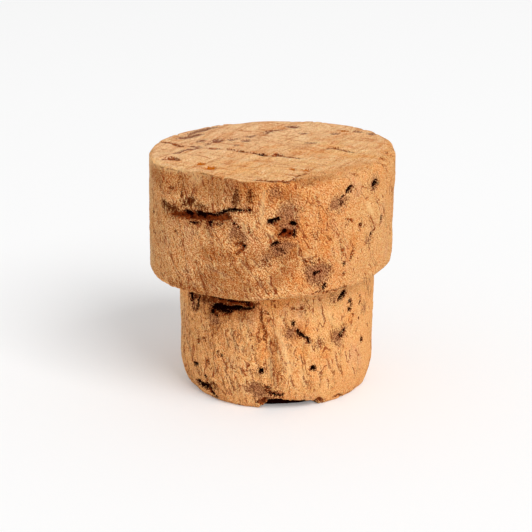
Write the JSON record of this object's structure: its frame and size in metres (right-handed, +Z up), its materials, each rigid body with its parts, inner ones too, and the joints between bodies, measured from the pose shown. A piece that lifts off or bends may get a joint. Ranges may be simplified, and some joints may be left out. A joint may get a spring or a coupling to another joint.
{
  "type": "cork stopper",
  "caption": "Hand-cut natural cork stopper with a wide head on a narrower shank, worn rims, open pores and cracks along the grain.",
  "frame": {"origin": "On the shank's axis, in the plane that the foot stands on", "axes": "+Z up along the shank, from the foot to the head; -Y is the front, the side with the long crevices; the head leans towards +X"},
  "size_m": [0.0299, 0.0297, 0.0296],
  "materials": {
    "cork": "natural cork, cut and unsealed, matt, with open pores and dark lenticel stains"
  },
  "bodies": {
    "root": {"stopper": "cork"}
  },
  "joints": []
}
